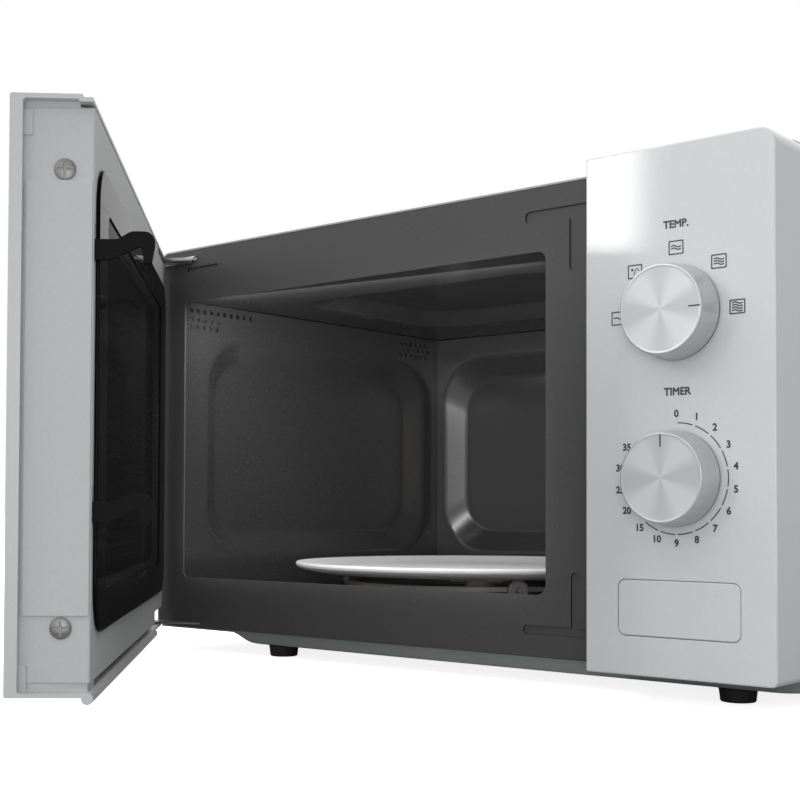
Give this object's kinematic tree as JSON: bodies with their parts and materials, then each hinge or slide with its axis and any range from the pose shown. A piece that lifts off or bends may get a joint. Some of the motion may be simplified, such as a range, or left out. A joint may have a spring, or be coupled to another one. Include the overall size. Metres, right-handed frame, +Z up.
{
  "type": "microwave oven",
  "caption": "Countertop microwave oven with two rotary dials, push-button door release, hinged door with latch hooks and a glass turntable.",
  "frame": {"origin": "middle of the footprint, open door included, on the surface that the feet stand on", "axes": "+Z up, +Y from the front towards the back, +X from the hinge side towards the control panel"},
  "size_m": [0.467, 0.5838, 0.2624],
  "materials": {
    "silver_plastic": "satin silver-grey moulded plastic",
    "silver_paint": "fine-grained silver-grey powder coat",
    "grey_paint": "dark green-grey satin paint",
    "dark_enamel": "charcoal enamel with a fine light speckle",
    "black_plastic": "gloss black moulded plastic",
    "inner_plastic": "natural white plastic",
    "rubber": "matt black rubber",
    "spun_metal": "spun metal face with a bright bevel",
    "zinc_steel": "zinc-plated steel",
    "raw_steel": "plain rolled steel",
    "mesh_steel": "black perforated sheet",
    "clear_glass": "clear moulded glass",
    "tinted_glass": "dark tinted glass",
    "copper": "lacquered copper winding",
    "board": "green circuit board",
    "mica": "pressed mica sheet"
  },
  "bodies": {
    "cabinet": {"base_pan": "grey_paint", "outer_wrap": "silver_paint", "rear_panel": "silver_paint", "cord_inlet": "black_plastic", "foot_front_left": "rubber", "foot_front_right": "rubber", "foot_rear_left": "rubber", "foot_rear_right": "rubber", "front_plate": "dark_enamel", "cavity_left_wall": "dark_enamel", "cavity_right_wall": "dark_enamel", "cavity_back_wall": "dark_enamel", "cavity_roof": "dark_enamel", "cavity_floor": "dark_enamel", "waveguide_cover": "mica", "waveguide": "raw_steel", "magnetron": "raw_steel", "thermal_cutout": "black_plastic", "fan_shroud": "inner_plastic", "fan_motor": "raw_steel", "transformer_core": "raw_steel", "transformer_winding": "copper", "capacitor": "zinc_steel", "hv_diode": "black_plastic", "filter_board": "board", "cavity_lamp": "clear_glass", "turntable_motor": "zinc_steel", "control_panel": "silver_plastic", "timer_unit": "inner_plastic", "latch_board": "inner_plastic", "door_switch_upper": "black_plastic", "door_switch_middle": "black_plastic", "door_switch_lower": "black_plastic", "upper_hinge_plate": "zinc_steel", "lower_hinge_plate": "zinc_steel", "upper_hinge_pin": "zinc_steel", "lower_hinge_pin": "zinc_steel"},
    "door": {"door_shell": "silver_plastic", "door_glass": "tinted_glass", "door_frame": "silver_paint", "mesh_screen": "mesh_steel", "choke_cover": "black_plastic", "inner_window": "clear_glass", "latch_spring": "zinc_steel", "door_screw_upper": "zinc_steel", "door_screw_lower": "zinc_steel"},
    "latch": {"latch_key": "black_plastic"},
    "release_button": {"release_button": "silver_plastic"},
    "release_lever": {"release_lever": "inner_plastic"},
    "timer_dial": {"timer_knob": "spun_metal", "timer_shaft": "zinc_steel"},
    "power_dial": {"power_knob": "spun_metal", "power_shaft": "zinc_steel"},
    "turntable": {"glass_tray": "clear_glass", "drive_coupler": "inner_plastic"},
    "roller_ring": {"roller_ring": "inner_plastic"},
    "roller_wheel_1": {"roller_wheel_1": "inner_plastic"},
    "roller_wheel_2": {"roller_wheel_2": "inner_plastic"},
    "roller_wheel_3": {"roller_wheel_3": "inner_plastic"},
    "fan": {"fan_blade": "inner_plastic"}
  },
  "joints": [
    {"name": "door_swing", "type": "hinge", "parent": "cabinet", "child": "door", "pos_m": [-0.21355, -0.0265, 0.1374], "axis": [0, 0, 1], "range_deg": [-55, 45.5]},
    {"name": "latch_lift", "type": "slide", "parent": "door", "child": "latch", "axis": [0, 0, 1], "range_m": [0, 0.005], "stiffness_N_per_m": 300, "springref_m": -0.004, "deforming": ["latch_spring"]},
    {"name": "button_press", "type": "slide", "parent": "cabinet", "child": "release_button", "axis": [0, 1, 0], "range_m": [0, 0.004], "stiffness_N_per_m": 400, "springref_m": -0.003},
    {"name": "lever_turn", "type": "hinge", "parent": "cabinet", "child": "release_lever", "pos_m": [0.15946, -0.0065, 0.0644], "axis": [1, 0, 0], "range_deg": [0, 14]},
    {"name": "timer_turn", "type": "hinge", "parent": "cabinet", "child": "timer_dial", "pos_m": [0.18546, -0.0495, 0.1059], "axis": [0, 1, 0], "range_deg": [0, 300]},
    {"name": "power_turn", "type": "hinge", "parent": "cabinet", "child": "power_dial", "pos_m": [0.18546, -0.0495, 0.1819], "axis": [0, 1, 0], "range_deg": [-180, 0]},
    {"name": "tray_turn", "type": "hinge", "parent": "cabinet", "child": "turntable", "pos_m": [-0.05004, 0.1231, 0.0444], "axis": [0, 0, 1], "continuous": true},
    {"name": "ring_turn", "type": "hinge", "parent": "cabinet", "child": "roller_ring", "pos_m": [-0.05004, 0.1231, 0.0444], "axis": [0, 0, 1], "continuous": true},
    {"name": "wheel_1_roll", "type": "hinge", "parent": "roller_ring", "child": "roller_wheel_1", "pos_m": [0.02081, 0.06364, 0.0437], "axis": [0.766, -0.6428, 0], "continuous": true},
    {"name": "wheel_2_roll", "type": "hinge", "parent": "roller_ring", "child": "roller_wheel_2", "pos_m": [-0.03398, 0.2142, 0.0437], "axis": [0.1736, 0.9848, 0], "continuous": true},
    {"name": "wheel_3_roll", "type": "hinge", "parent": "roller_ring", "child": "roller_wheel_3", "pos_m": [-0.13697, 0.09146, 0.0437], "axis": [-0.9397, -0.342, 0], "continuous": true},
    {"name": "fan_spin", "type": "hinge", "parent": "cabinet", "child": "fan", "pos_m": [0.16176, 0.1861, 0.1564], "axis": [0, 1, 0], "continuous": true}
  ],
  "couplings": [
    {"joint": "lever_turn", "follows": "button_press", "rad_per_m": 55.4},
    {"joint": "ring_turn", "follows": "tray_turn", "ratio": 0.5},
    {"joint": "wheel_1_roll", "follows": "tray_turn", "ratio": -7.3413},
    {"joint": "wheel_2_roll", "follows": "tray_turn", "ratio": -7.3413},
    {"joint": "wheel_3_roll", "follows": "tray_turn", "ratio": -7.3413}
  ]
}
